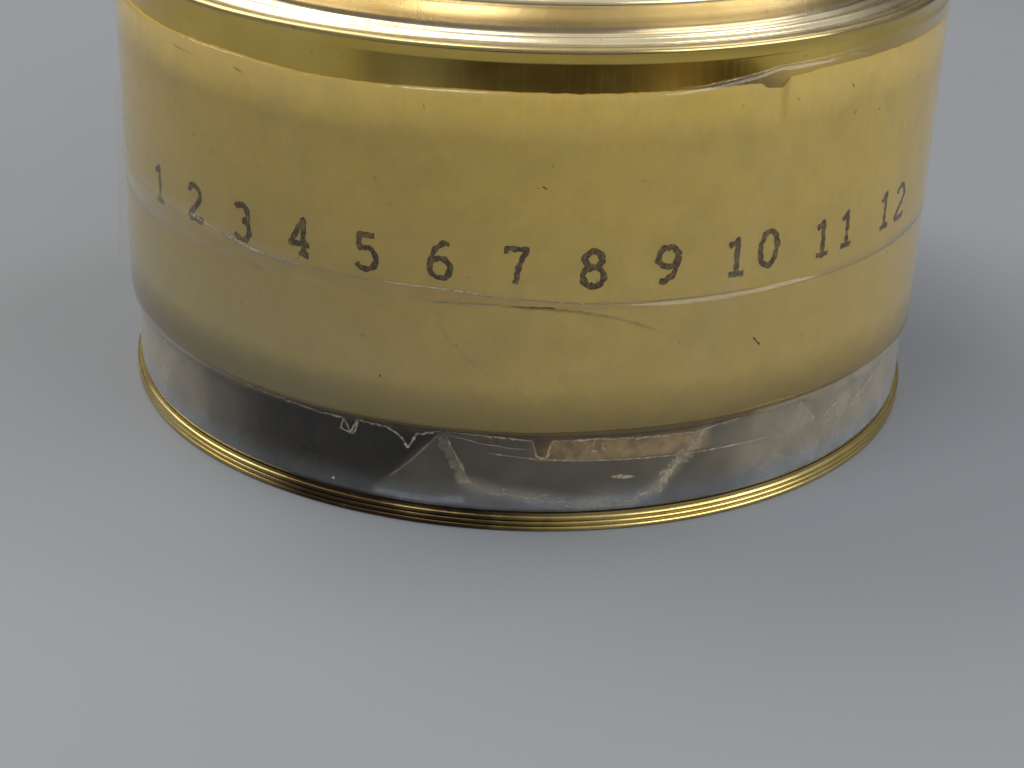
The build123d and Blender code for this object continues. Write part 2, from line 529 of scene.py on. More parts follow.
def gold_lacquer():
    """Gold lacquer over bright tinplate: drawing lines, hairline scratches, uneven tone; painted
    reflection on the top rings, painted shade on the shoulder, in the panel's corner and at the
    skirt's foot.
    """
    p = Paint("gold_lacquer")
    tone = p.noise(0.12, 3.0)
    side = p.mix(tone, rgb(0.66, 0.46, 0.090), rgb(0.77, 0.56, 0.135))
    radius = p.radius()
    # Painted reflection and shade: the top rings are paler and less yellow for the whitish light they
    # reflect, and the shoulder outside them is darker.
    ridges = p.mix(tone, rgb(0.72, 0.61, 0.38), rgb(0.82, 0.72, 0.50))
    top = p.mix(p.passage(radius, 31.15, 31.5), ridges, rgb(0.42, 0.33, 0.15))
    colour = p.mix(p.passage(p.height, 34.3, 34.6), side, top)
    # Painted shade: darker in the corner where the inner ridge meets the panel's side.
    corner = p.times(p.window(radius, 28.0, 28.5, 0.15), p.window(p.height, 34.0, 35.6, 0.3))
    colour = p.tinted(colour, corner, 0.6, rgb(0.16, 0.10, 0.045))
    drawn = p.noise(1.0, 3.0, vector=p.stretched(4.0, 4.0, 0.10), low=0.45, high=0.7)
    colour = p.tinted(colour, drawn, 0.10, rgb(0.50, 0.43, 0.26))
    specks = p.noise(2.4, 2.0, low=0.70, high=0.76)
    colour = p.tinted(colour, specks, 0.5, rgb(0.20, 0.13, 0.04))
    # Painted shade: the skirt's foot, just above the lid's edge, is darkened almost to black-brown.
    edge = p.passage(p.height, LID_EDGE_Z + 0.3, LID_EDGE_Z + 0.6, 1.0, 0.0)
    colour = p.tinted(colour, edge, 0.85, rgb(0.060, 0.036, 0.016))
    rings = p.add("ShaderNodeTexNoise", {"noise_dimensions": "1D"},
                  {"W": radius, "Scale": 5.0, "Detail": 2.0})
    soft_variation = p.noise(0.35, 3.0)
    rough = p.scaled(soft_variation, 0.05, 0.10)
    rough = p.scaled(drawn, 0.025, rough)
    rough = p.scaled(edge, 0.4, rough)
    level = p.passage(p.height, 34.5, 34.8)
    rough = p.scaled(level, 0.11, rough)
    outer = p.times(level, p.passage(radius, 31.0, 31.4))
    rough = p.scaled(outer, 0.14, rough)
    turned_lines = p.times(rings.outputs[0], level)
    lines = p.bump(turned_lines, 0.006, 0.3, p.bump(drawn, 0.0015, 0.3))
    dents = p.bump(p.noise(0.10, 2.0), 0.05, 0.3, lines)
    return p.finish(p.principled({
        "Base Color": colour, "Metallic": 1.0, "Roughness": rough, "Normal": dents,
        "Coat Weight": 0.25, "Coat Roughness": 0.06}))


def dark_lacquer():
    """Body: gold bead and base, and the dark wall that shows under the lid's edge; painted shade on
    the bead's front left and in a band just under the lid's edge.
    """
    p = Paint("dark_lacquer")
    around = p.around()
    bead = p.passage(p.height, BEAD_Z - 0.05, BEAD_Z + 0.1, 1.0, 0.0)
    tone = p.noise(0.15, 4.0)
    gold = p.mix(tone, rgb(0.56, 0.42, 0.13), rgb(0.70, 0.56, 0.24))
    worn = p.noise(0.8, 3.0, low=0.55, high=0.75)
    gold = p.tinted(gold, worn, 0.35, rgb(0.26, 0.16, 0.06))
    # Painted shade: the bead turns dark brown at the front left, for the shaded floor that it reflects
    # there.
    patchy = p.passage(p.noise(0.3, 3.0), 0.0, 0.6, 0.85, 1.0)
    painted_dark_reflection = p.times(p.window(around, -36.0, 4.0, 9.0), patchy)
    painted_dark_reflection = p.times(painted_dark_reflection, p.passage(p.radius(), 31.0, 31.4))
    gold = p.mix(painted_dark_reflection, gold, rgb(0.062, 0.040, 0.020))
    cloud = p.noise(0.5, 4.0)
    wall = p.mix(cloud, rgb(0.006, 0.005, 0.004), rgb(0.016, 0.013, 0.010))
    strip = p.times(p.window(around, 3.0, 25.0, 2.0), p.window(p.height, 5.45, 7.4, 0.15))
    bronze = p.mix(p.noise(0.9, 4.0), rgb(0.090, 0.050, 0.014), rgb(0.250, 0.160, 0.056))
    wall = p.mix(strip, wall, bronze)
    # Painted shade: a brown band just under the lid's edge, where the gap lies in shade.
    band = p.window(p.height, 7.0, 8.4, 0.25)
    gap_shade_tone = p.mix(p.noise(0.6, 3.0), rgb(0.040, 0.024, 0.014), rgb(0.085, 0.055, 0.030))
    wall = p.tinted(wall, band, 0.8, gap_shade_tone)
    colour = p.mix(bead, wall, gold)
    rough = p.scaled(cloud, 0.10, 0.16)
    normal = p.bump(p.noise(0.12, 2.0), 0.03, 0.3)
    return p.finish(p.principled({
        "Base Color": colour, "Metallic": bead, "Roughness": rough, "Normal": normal,
        "Specular IOR Level": 0.15}))


def label_paper():
    """Yellowed paper: fibres, grain, cloudy ageing, a greyer foot and small dark specks."""
    p = Paint("label_paper")
    cloud = p.noise(0.10, 4.0)
    colour = p.mix(cloud, rgb(0.375, 0.274, 0.078), rgb(0.415, 0.304, 0.084))
    mottle = p.noise(0.45, 5.0, 0.6)
    colour = p.tinted(colour, mottle, 0.35, rgb(0.310, 0.245, 0.085))
    left = p.passage(p.x, -30.0, 0.0, 1.0, 0.0)
    colour = p.tinted(colour, left, 0.6, rgb(0.310, 0.245, 0.098))
    foot = p.passage(p.height, 8.0, 24.0, 1.0, 0.0)
    foot = p.times(foot, p.passage(p.x, -26.0, 4.0, 1.0, 0.15))
    colour = p.tinted(colour, foot, 0.6, rgb(0.260, 0.228, 0.125))
    upper = p.times(p.passage(p.height, 16.0, 26.0), 0.6)
    colour = p.mix(upper, colour, rgb(0.440, 0.318, 0.062))
    olive = p.noise(0.22, 4.0, 0.65, low=0.46, high=0.66)
    colour = p.tinted(colour, olive, 0.35, rgb(0.300, 0.238, 0.062))
    fibres = p.noise(1.0, 4.0, 0.7, p.stretched(2.0, 2.0, 1.2), 0.35, 0.65)
    colour = p.tinted(colour, fibres, 0.16, rgb(0.250, 0.200, 0.085))
    specks = p.noise(1.9, 2.0, 0.5, low=0.735, high=0.77)
    colour = p.tinted(colour, specks, 0.55, rgb(0.12, 0.085, 0.04))
    grain = p.noise(5.0, 4.0, 0.7)
    normal = p.bump(grain, 0.012, 0.3, p.bump(fibres, 0.012, 0.3))
    return p.finish(p.principled({
        "Base Color": colour, "Roughness": p.scaled(grain, 0.12, 0.72),
        "Normal": normal, "Specular IOR Level": 0.3}))


def typed_ink():
    """Brown-black ribbon ink, thin where the type struck lightly."""
    p = Paint("typed_ink")
    thin = p.noise(2.2, 5.0, 0.7, low=0.42, high=0.66)
    grain = p.noise(9.0, 3.0, 0.6, low=0.5, high=0.65)
    share = p.math("MULTIPLY_ADD", grain, 0.45, p.times(thin, 0.75), clamp=True)
    colour = p.mix(share, rgb(0.034, 0.021, 0.009), rgb(0.170, 0.118, 0.040))
    return p.finish(p.principled({
        "Base Color": colour, "Roughness": 0.75, "Normal": p.bump(grain, 0.01, 0.4),
        "Specular IOR Level": 0.25}))


def clear_film():
    """Clear tape gone slightly yellow: gloss at every angle, haze where it came loose, and painted
    sheen and a painted blue-grey floor reflection in that haze.
    """
    p = Paint("clear_film")
    front = p.math("SUBTRACT", 1.0, p.add("ShaderNodeNewGeometry").outputs["Backfacing"])
    cloud = p.noise(0.6, 3.0, 0.6)
    haze = p.times(p.attribute("share"), p.scaled(cloud, 0.26, 0.87))
    haze = p.times(haze, front, clamp=True)
    # Painted reflection: near the bead the milky colour turns blue-grey, for the bluish floor that the
    # tape reflects there.
    cool = p.passage(p.height, 1.6, 4.2, 1.0, 0.0)
    colour = p.mix(cool, rgb(0.50, 0.445, 0.33), rgb(0.38, 0.42, 0.46))
    normal = p.bump(p.noise(0.20, 2.0), 0.05, 0.3)
    milk = p.add("ShaderNodeBsdfDiffuse", {}, {"Color": colour})
    clear = p.add("ShaderNodeBsdfTransparent", {}, {"Color": rgb(0.995, 0.985, 0.96)})
    gloss = p.add("ShaderNodeBsdfAnisotropic", {}, {
        "Color": rgb(1, 1, 1), "Roughness": 0.12, "Normal": normal})
    fresnel = p.add("ShaderNodeFresnel", {}, {"IOR": 1.45}).outputs[0]
    share = p.times(fresnel, front, clamp=True)
    return p.finish(p.blended(share, p.blended(haze, clear, milk), gloss))


def film_underside():
    """Gummed side of the tape, with nothing to see on it."""
    p = Paint("film_underside")
    tint = p.mix(p.noise(0.5, 2.0), rgb(1.0, 0.995, 0.98), rgb(0.985, 0.975, 0.95))
    return p.finish(p.add("ShaderNodeBsdfTransparent", {}, {"Color": tint}))


def lifted_film_and_glints():
    """Whitish lines and crinkles where the tape has come off what is under it, and painted glints
    along the tape's edges.
    """
    p = Paint("lifted_film_and_glints")
    beads = p.noise(3.2, 3.0, 0.6, low=0.32, high=0.62)
    gaps = p.noise(0.45, 2.0, low=0.30, high=0.55)
    beaded = p.scaled(beads, 0.65, 0.35)
    cover = p.times(beaded, p.scaled(gaps, 0.6, 0.4))
    share = p.times(p.attribute("share"), cover, clamp=True)
    colour = p.mix(p.noise(0.4, 2.0), rgb(0.40, 0.34, 0.24), rgb(0.58, 0.51, 0.37))
    body = p.principled({
        "Base Color": colour, "Roughness": 0.3, "Normal": p.bump(beads, 0.06, 0.8)})
    return p.cover(share, body)


def dark_paper_marks():
    """Dark specks, a fibre, a soft dark line and small marks on the paper."""
    p = Paint("dark_paper_marks")
    uneven = p.noise(2.6, 3.0, 0.6, low=0.30, high=0.60)
    cover = p.scaled(uneven, 0.5, 0.5)
    share = p.times(p.attribute("share"), cover, clamp=True)
    colour = p.mix(p.noise(0.8, 2.0), rgb(0.030, 0.022, 0.014), rgb(0.080, 0.060, 0.034))
    mark = p.principled({
        "Base Color": colour, "Roughness": 0.8, "Normal": p.bump(uneven, 0.01, 0.4)})
    return p.cover(share, mark)


# Label and typed line

LABEL_TOP = [
    (-180, 31.8), (-90, 31.9), (-63, 32.25), (-52, 32.0), (-38, 31.95), (-33, 31.8), (-27.5, 31.65),
    (-17, 31.7), (-8, 31.87), (6, 31.85), (15, 31.9), (25, 31.97), (28.2, 31.92), (29.0, 31.62),
    (30.0, 31.5), (31.3, 31.42), (31.6, 31.6), (32.3, 32.1), (38, 32.4), (49, 32.4), (60, 32.35),
    (90, 32.0), (180, 31.8)]
LABEL_FOOT = [
    (-180, 7.9), (-62, 8.0), (-42, 7.95), (-28, 7.8), (-14, 7.85), (2, 7.87), (12, 8.02),
    (24, 8.05), (33, 8.3), (43, 8.2), (55, 7.95), (68, 7.75), (90, 7.8), (180, 7.9)]
LABEL_GAP_DEG = 1.5
GLUE = 0.01                 # under the paper


def label_top(angle):
    """Height of the label's ragged top edge."""
    ragged = 0.045 * ripple(angle, 0, 0.9, 3.0) + 0.03 * ripple(angle, 0, 0.35, 9.0)
    return along(LABEL_TOP, angle) + ragged


def make_label(material):
    """Paper strip whose top edge is torn a little, with its ends nearly meeting at the back."""
    span = 360.0 - LABEL_GAP_DEG
    stops = steps(-span / 2, span / 2, 1300)

    def heights(angle):
        foot = along(LABEL_FOOT, angle) + 0.02 * ripple(angle, 0, 0.8, 5.0)
        return steps(foot, label_top(angle), 7)

    def inner_r(angle, height):
        return TIN_R + GLUE

    points, outsides, insides, rims, _ = wrap(stops, heights, inner_r, PAPER - GLUE, False)
    return mesh_object("paper_label_sheet", points, outsides + insides, material, rims)


def bow(x, y, wide, high, start, end, parts=14):
    """Arc of an ellipse in a figure, from one angle to another."""
    points = []
    for degrees in steps(start, end, parts):
        turn = math.radians(degrees)
        points.append((x + wide * math.cos(turn), y + high * math.sin(turn)))
    return points


FIGURES = {
    "0": [bow(0.85, 1.35, 0.62, 1.25, 0, 360, 26)],
    "1": [[(0.30, 2.15), (0.62, 2.35), (0.88, 2.62), (0.88, 0.10)], [(0.35, 0.10), (1.42, 0.10)]],
    "2": [bow(0.85, 1.92, 0.60, 0.68, 165, -35) + [(0.22, 0.32), (0.22, 0.10)],
          [(0.22, 0.12), (1.46, 0.12), (1.46, 0.42)]],
    "3": [bow(0.80, 2.02, 0.55, 0.58, 150, -75), bow(0.80, 0.80, 0.66, 0.72, 85, -150)],
    "4": [[(1.10, 0.10), (1.10, 2.62), (0.15, 0.86), (1.52, 0.86)], [(0.74, 0.10), (1.46, 0.10)]],
    "5": [[(1.38, 2.56), (0.42, 2.56), (0.34, 1.45)], bow(0.78, 0.88, 0.68, 0.78, 130, -150)],
    "6": [[(1.36, 2.50), (0.98, 2.58), (0.52, 2.10), (0.26, 1.35), (0.22, 0.80)],
          bow(0.84, 0.80, 0.62, 0.70, 180, -180, 22)],
    "7": [[(0.24, 2.20), (0.24, 2.56), (1.44, 2.56), (0.98, 1.35), (0.80, 0.10)]],
    "8": [bow(0.85, 2.02, 0.50, 0.56, 0, 360, 20), bow(0.85, 0.78, 0.64, 0.68, 0, 360, 22)],
    "9": [[(0.34, 0.20), (0.72, 0.12), (1.18, 0.60), (1.44, 1.35), (1.48, 1.90)],
          bow(0.86, 1.90, 0.62, 0.70, 0, 360, 22)],
}
TYPED = "1 2 3 4 5 6 7 8 9 10 11 12"
TYPED_FROM_DEG = -55.25
TYPED_FOOT_Z = 18.75
TYPED_WIDE = 1.7
TYPED_STRETCH = 1.12        # the figures are drawn a little narrower than they are typed
INK = 0.004


def make_typed_line(material):
    """Counting figures as a typewriter strikes them: each a little off in place and weight."""
    chance = random.Random(41)
    strips = Strips(17)
    for index, figure in enumerate(TYPED):
        if figure == " ":
            continue
        middle = TYPED_FROM_DEG + PITCH_DEG * index
        lean = math.radians(chance.uniform(-1.5, 1.5))
        drop = chance.uniform(-0.12, 0.12)
        weight = chance.uniform(0.37, 0.47)
        for stroke in FIGURES[figure]:
            path = []
            for x, y in stroke:
                x = (x - TYPED_WIDE / 2) * TYPED_STRETCH
                turned_x = x * math.cos(lean) - y * math.sin(lean)
                turned_y = x * math.sin(lean) + y * math.cos(lean)
                path.append((middle + turned_x / ARC, TYPED_FOOT_Z + drop + turned_y))
            radius = PAPER_R + INK + INK / 5 * (len(strips.points) % 7)
            strips.add(path, weight, radius, INK, 0.30, step=0.06, stray=0.03)
    return strips.make("typed_figures", material)


def make_marks(material):
    """Small dark marks on the paper: specks, one fibre, a soft dark line."""
    strips = Strips(23)
    face = PAPER_R + 0.003
    fibre = [(30.3, 13.75), (30.9, 13.35), (31.6, 13.0)]
    strips.add(fibre, 0.13, face, INK, 0.3, 1.0, step=0.06, taper=0.2)
    strips.add([(-17.2, 11.2), (-16.9, 11.05)], 0.16, face, INK, 0.4, 0.8, step=0.05, taper=0.08)
    strips.add([(2.0, 25.7), (2.7, 25.5)], 0.10, face, INK, 0.4, 0.5, step=0.05, taper=0.1)
    # A soft dark line across the label.
    soft_variation = rounded([(-2.4, 17.2), (4.7, 17.1), (12.1, 16.4), (18.5, 14.9)])
    strips.add(soft_variation, 0.26, face, 0.003, 0.5, 0.06, taper=3.0)
    scratch = [(-50, 31.1), (-47, 30.9), (-45, 30.9)]
    strips.add(scratch, 0.07, face, INK, 0.5, 0.22, stray=0.05, taper=0.6)
    strips.add([(-38, 31.0), (-36, 30.7)], 0.12, face, INK, 0.5, 0.20, stray=0.05, taper=0.4)
    front = [(-60, 10), (60, 10), (60, 29), (-60, 29)]
    right = [(78, 12), (170, 28)]
    left = [(190, 12), (282, 28)]
    for path, count, spread in ((front, 26, 3.0), (right, 24, 4.0), (left, 24, 4.0)):
        strips.scatter(path, count, spread, (0.12, 0.5), (0.05, 0.12), face, (0.15, 0.55),
                       low=LABEL_LOW)
    return strips.make("paper_marks", material)


# Tape

# Radii of the tape's inner face
OVER_LID = TIN_R + 0.012
OVER_PAPER = PAPER_R + 0.022
OVER_LOWER = OVER_PAPER + FILM + 0.012
ON_WALL = BODY_R + 0.015

# Line down to which the lower band stands off the body's wall
LANDING = [
    (-62, 7.3), (-50, 7.35), (-38, 7.35), (-31.4, 7.3), (-25.3, 7.1), (-22.4, 7.1), (-21.5, 6.1),
    (-20.4, 7.2), (-16.3, 7.05), (-14.4, 6.45), (-13.7, 5.75), (-12.4, 6.85), (-9.3, 7.35),
    (-4.3, 7.3), (0.6, 7.1), (2.2, 7.0), (2.8, 5.8), (4.0, 5.65), (4.7, 7.0), (10.5, 7.1),
    (16.9, 6.95), (23.8, 6.9), (28.7, 7.3), (34.1, 7.4), (39.4, 7.4), (40.4, 7.25), (42.7, 5.9),
    (44.5, 4.6), (47.1, 5.4), (50.5, 6.1), (53.0, 4.95), (57.9, 5.7), (64, 7.0)]
LOWER_Z0 = 1.45
LOWER_BEND_Z = 8.3          # the band lies flat above this height
LOWER_TOP = [
    (-180, 17.9), (-75, 18.3), (-68, 18.8), (-55, 19.3), (-47, 19.2), (-40.7, 18.8), (-35, 18.35),
    (-29.4, 18.2), (-9, 18.2), (-4.8, 18.0), (7.3, 17.55), (30, 17.5), (80, 17.9), (180, 17.9)]
# The loose end covers the join from -119 to -76 degrees, where the bands meet edge to edge
UPPER_FOOT = [
    (-180, 17.1), (-124, 17.1), (-119, 18.2), (-76, 18.4), (-70, 17.2), (-60, 17.1), (-38, 17.2),
    (-33, 17.05), (-10, 17.15), (-2, 17.3), (8, 17.1), (180, 17.1)]
UPPER_TOP = [
    (-180, 33.0), (-95, 32.9), (-70, 32.4), (-62, 32.2), (14, 31.85), (20, 32.15), (27.3, 32.65),
    (31, 33.0), (38, 33.05), (46, 33.4), (55, 33.7), (74, 33.4), (100, 33.1), (180, 33.0)]


def landing(angle):
    """Height at which the lower band lands on the body's wall."""
    if LANDING[0][0] < angle < LANDING[-1][0]:
        return along(LANDING, angle)
    return 7.1 + 0.35 * ripple(angle, 0, 4.0, 1.0) + 0.12 * ripple(angle, 0, 1.1, 2.0)


WRINKLE = [
    (-6.4, 3.6), (-4.1, 3.1), (0.9, 2.6), (8.4, 2.0), (14.9, 2.0), (18.7, 2.9), (21.9, 5.0),
    (24.8, 7.1)]


def lower_inner(angle, height):
    """Inner face of the lower band."""
    wave = 0.008 * ripple(angle, height, 5.0, 4.0)
    if height > LID_EDGE_Z:
        step = smooth(LID_EDGE_Z + 0.05, 8.25, height)
        return OVER_LID + (OVER_PAPER - OVER_LID) * step + wave * step
    step = smooth(landing(angle), LID_EDGE_Z - 0.06, height)
    crease = 0.0
    if -8 < angle < 27:
        lumps = 0.05 * abs(ripple(angle, height, 0.8, 6.0))
        crease = lumps * smooth(1.8, 0.3, near(WRINKLE, angle, height))
    return ON_WALL + (OVER_LID - ON_WALL) * step + abs(wave) + crease


STREAK = [(-17.6, 1.95), (-11.7, 1.75), (-6.6, 2.1)]
# Paths of two painted sheen streaks on the tape over the label.
SHEEN_STREAK_LEFT = [(-31.1, 30.8), (-29.2, 27.0), (-27.3, 23.2)]
SHEEN_STREAK_RIGHT = [(32.4, 27.1), (28.5, 21.0), (22.8, 12.7)]

# How milky the lower band is round the tin, on the body's wall
LOWER_HAZE = [
    (-180, 0.40), (-90, 0.50), (-60, 0.52), (-52, 0.38), (-47, 0.31), (-45.5, 0.20), (-40, 0.13),
    (-36, 0.03), (-30, 0.006), (-16, 0.006), (-9, 0.11), (0, 0.14), (10, 0.15), (16, 0.19),
    (24, 0.17), (28, 0.22), (33, 0.38), (43, 0.46), (57, 0.50), (90, 0.50), (180, 0.40)]
CLEAR_HAZE = 0.012          # what clear tape has everywhere


def painted_side_sheen(angle):
    """Painted sheen: the tape is made milkier where it turns away at the sides."""
    return 0.05 * smooth(48, 85, abs(angle))


def sheen_streaks(angle, height):
    """Painted sheen: two pale soft streaks in the tape over the label."""
    haze = 0.0
    if -36 < angle < -22:
        haze += 0.05 * smooth(1.1, 0.1, near(SHEEN_STREAK_LEFT, angle, height))
    if 16 < angle < 40:
        haze += 0.05 * smooth(1.4, 0.1, near(SHEEN_STREAK_RIGHT, angle, height))
    return haze


def lower_haze(angle, height):
    """How milky the lower band is at a place."""
    if height > 8.0:
        foot = 0.05 * smooth(20, 9, height) * smooth(20, -50, angle)
        return CLEAR_HAZE + painted_side_sheen(angle) + foot + sheen_streaks(angle, height)
    haze = along(LOWER_HAZE, angle)
    if -20 < angle < -6:
        seam = -16.3 + (height - 3.1) * 1.68
        haze = 0.006 + 0.115 * smooth(seam - 0.9, seam + 0.5, angle)
    if -40 < angle < 32:
        haze *= 1 - 0.75 * smooth(landing(angle) - 0.1, landing(angle) + 0.3, height)
    # Painted reflection: milkier near the bead, where the tape shows the bluish floor.
    haze += 0.15 * smooth(3.8, 1.6, height) * smooth(60, 20, abs(angle + 15))
    if -19 < angle < -4:
        haze += 0.25 * smooth(0.45, 0.0, near(STREAK, angle, height))
    if -8 < angle < 27:
        haze += 0.22 * smooth(0.9, 0.0, near(WRINKLE, angle, height))
    return haze * (1 + 0.16 * ripple(angle, height, 2.2, 21.0))


def make_lower_tape(material, back):
    """Lower band, with closely spaced rows where it bends and wrinkles on the wall."""
    stops = steps(-180, 180, 720)[:-1]
    close_rows = steps(LOWER_Z0, LOWER_BEND_Z, 26)

    def heights(angle):
        top = along(LOWER_TOP, angle) + 0.02 * ripple(angle, 0, 2.0, 8.0)
        return close_rows + steps(LOWER_BEND_Z, top, 12)[1:]

    points, outsides, insides, rims, places = wrap(stops, heights, lower_inner, FILM, True)
    obj = mesh_object("lower_tape_film", points, outsides, material, rims, insides, back)
    set_share(obj, "share", [lower_haze(*place) for place in places])
    return obj


def upper_top(angle):
    """Top edge of the upper band: along the label's edge in front, above it at the right."""
    if -62 < angle < 14:
        return label_top(angle) - 0.06
    return along(UPPER_TOP, angle) + 0.02 * ripple(angle, 0, 2.0, 6.0)


LAP = 1.4                   # height in which the upper band comes down off the lower one


def upper_inner(angle, height):
    """Inner face of the upper band: over the lower one, the label, and the bare skirt."""
    wave = 0.010 * ripple(angle, height, 6.0, 12.0)
    edge = along(LOWER_TOP, angle)
    if height < edge + LAP:
        return OVER_LOWER + (OVER_PAPER - OVER_LOWER) * smooth(edge, edge + LAP, height)
    rise = smooth(label_top(angle) + 0.95, label_top(angle) - 0.15, height)
    return OVER_LID + (OVER_PAPER - OVER_LID) * rise + wave * rise


def upper_haze(angle, height):
    """How milky the upper band is: a little more over bare metal and at the sides."""
    bare = 0.025 * smooth(label_top(angle) - 0.1, label_top(angle) + 0.2, height)
    edge = 0.0
    if -74 < angle < -26:
        edge = 0.16 * smooth(0.8, 0.1, near(LOWER_TOP[2:8], angle, height))
        edge *= smooth(-74, -64, angle)
    return CLEAR_HAZE + painted_side_sheen(angle) + bare + edge + sheen_streaks(angle, height)


TAB_ROOT_DEG = -116.0
TAB_TIP_DEG = -79.0
TAB_Z0 = 9.3
TAB_Z1 = 22.5
TAB_ROOT_RISE = 0.214       # over both bands and the paper
TAB_FOOT_LIFT = 0.80        # at the tip
TAB_TOP_LIFT = 0.30
TAB_HAZE = 0.06


def make_upper_tape(material, back):
    """Upper band and its loose end, which stands off the tin at the left."""
    stops = steps(-180, 180, 720)[:-1]

    def heights(angle):
        foot = along(UPPER_FOOT, angle) + 0.02 * ripple(angle, 0, 2.0, 8.0)
        return steps(foot, upper_top(angle), 30)

    band = wrap(stops, heights, upper_inner, FILM, True)
    tab_stops = steps(TAB_ROOT_DEG, TAB_TIP_DEG, 48)

    def tab_heights(angle):
        return steps(TAB_Z0, TAB_Z1, 20)

    def tab_inner(angle, height):
        part = (angle - TAB_ROOT_DEG) / (TAB_TIP_DEG - TAB_ROOT_DEG)
        rise = (height - TAB_Z0) / (TAB_Z1 - TAB_Z0)
        lift = TAB_FOOT_LIFT - (TAB_FOOT_LIFT - TAB_TOP_LIFT) * rise - 0.06 * math.sin(math.pi * rise)
        return TIN_R + TAB_ROOT_RISE + lift * part * part

    tab = wrap(tab_stops, tab_heights, tab_inner, FILM, False)
    shift = len(band[0])
    outsides, insides, rims = [
        own + [tuple(corner + shift for corner in face) for face in other]
        for own, other in zip(band[1:4], tab[1:4])]
    obj = mesh_object("upper_tape_film", band[0] + tab[0], outsides, material, rims, insides, back)
    haze = [upper_haze(*place) for place in band[4]] + [TAB_HAZE] * len(tab[0])
    set_share(obj, "share", haze)
    return obj


def on_lower(angle, height):
    """Radius just outside the lower band."""
    return lower_inner(angle, height) + FILM + 0.004


def on_upper(angle, height):
    """Radius just outside the upper band."""
    return upper_inner(angle, height) + FILM + 0.004


def add_landing(strips):
    """Where the lower band lands on the wall, in front and round the back."""
    hook = [(-22.4, 7.1), (-22.9, 6.2), (-21.0, 6.0), (-20.4, 7.1)]
    strips.add(LANDING[2:25], 0.14, on_lower, 0.012, 0.6, 0.72, stray=0.10, step=0.08)
    strips.add(LANDING[24:], 0.14, on_lower, 0.012, 0.5, 0.55, stray=0.08)
    strips.add(hook, 0.14, on_lower, 0.012, 0.5, 0.6, stray=0.08)
    for start, end in ((66, 180), (-180, -60)):
        hidden = [(angle, landing(angle)) for angle in range(start, end, 2)]
        strips.add(hidden, 0.13, on_lower, 0.012, 0.5, 0.45, stray=0.10)


def add_folds(strips):
    """Folds and seams of the lower band on the wall."""
    seam = rounded([(-4.2, 6.0), (3.2, 5.55), (13.2, 5.4), (23.9, 5.25), (33.0, 5.2), (42.0, 4.95)])
    branch = [(-9.0, 7.2), (-4.0, 6.6), (1.8, 6.3)]
    fold = [(-9.6, 7.3), (-8.2, 5.8), (-6.4, 3.9), (-5.6, 3.3)]
    fold_edge = [(-9.0, 7.3), (-7.6, 5.8), (-5.9, 3.9)]
    second_layer = [(-16.3, 3.1), (-13.0, 4.85), (-9.3, 7.25)]
    strips.add(seam, 0.09, on_lower, share=0.6, stray=0.03, taper=2.0)
    strips.add(branch, 0.08, on_lower, share=0.45, stray=0.04, taper=0.6)
    strips.add(fold, 0.75, on_lower, share=0.17, stray=0.12, taper=0.5)
    strips.add(fold_edge, 0.12, on_lower, 0.018, 0.5, 0.45, stray=0.08, taper=0.5)
    strips.add(second_layer, 0.10, on_lower, share=0.22, stray=0.04, taper=0.6)


def add_crinkles(strips):
    """Crumpled places, flecks and scratches of the lower band on the wall."""
    fleck = [(12.0, 4.10), (14.0, 4.02), (15.9, 3.92)]
    strips.add(fleck, 0.26, on_lower, 0.012, share=0.9, taper=0.7)
    strips.add([(-24.3, 2.12), (-23.7, 2.02)], 0.26, on_lower, 0.012, share=0.9, step=0.06, taper=0.15)
    feathers = [(-28.6, 3.6), (-26.6, 2.4)]
    strips.scatter(feathers, 16, 0.35, (0.12, 0.40), (0.05, 0.10), on_lower, (0.08, 0.24))
    strips.add(rounded(WRINKLE[:6]), 0.16, on_lower, 0.012, 0.7, 0.40, stray=0.16, taper=0.8)
    strips.add(rounded(WRINKLE[5:]), 0.34, on_lower, 0.012, 0.7, 0.55,
               stray=0.22, step=0.09, taper=0.5)
    strips.scatter(WRINKLE[:6], 60, 0.20, (0.2, 0.8), (0.07, 0.18), on_lower, (0.10, 0.45))
    strips.scatter(WRINKLE[5:], 60, 0.30, (0.2, 0.75), (0.10, 0.26), on_lower, (0.25, 0.80))
    on_bronze = [(8.5, 6.6), (12.0, 6.7)]
    strips.scatter(on_bronze, 9, 0.25, (0.3, 0.8), (0.06, 0.14), on_lower, (0.3, 0.7))
    right = [(46, 5.6), (60, 6.6)]
    strips.scatter(right, 12, 0.5, (0.6, 1.6), (0.06, 0.12), on_lower, (0.10, 0.30))
    hidden = [(75, 5.0), (285, 5.0)]
    strips.scatter(hidden, 60, 1.0, (0.6, 2.0), (0.06, 0.14), on_lower, (0.08, 0.30))


def add_band_edges(strips):
    """Painted glints: whitish strips along the edges of the two bands where they lap over the label.
    """
    bright_left = [(-41.5, 18.85), (-35, 18.35), (-29.4, 18.2), (-27, 18.2)]
    bright_middle = [(-9.8, 18.25), (-4.8, 18.0), (-2.5, 17.95)]
    strips.add(bright_left, 0.14, on_upper, rough=0.3, taper=1.5)
    strips.add(bright_middle, 0.12, on_upper, rough=0.3, taper=1.0)
    strips.add([(7.1, 17.55), (7.7, 17.54)], 0.14, on_upper, rough=0.3, share=0.8,
               step=0.05, taper=0.15)
    strips.add(LOWER_TOP[7:12], 0.06, on_upper, share=0.35, taper=3.0)
    strips.add([(-39, 17.2), (-32.5, 17.05)], 0.08, on_upper, share=0.30, taper=1.0)
    strips.add([(-10.8, 17.15), (-2.0, 17.35)], 0.08, on_upper, share=0.25, taper=1.0)


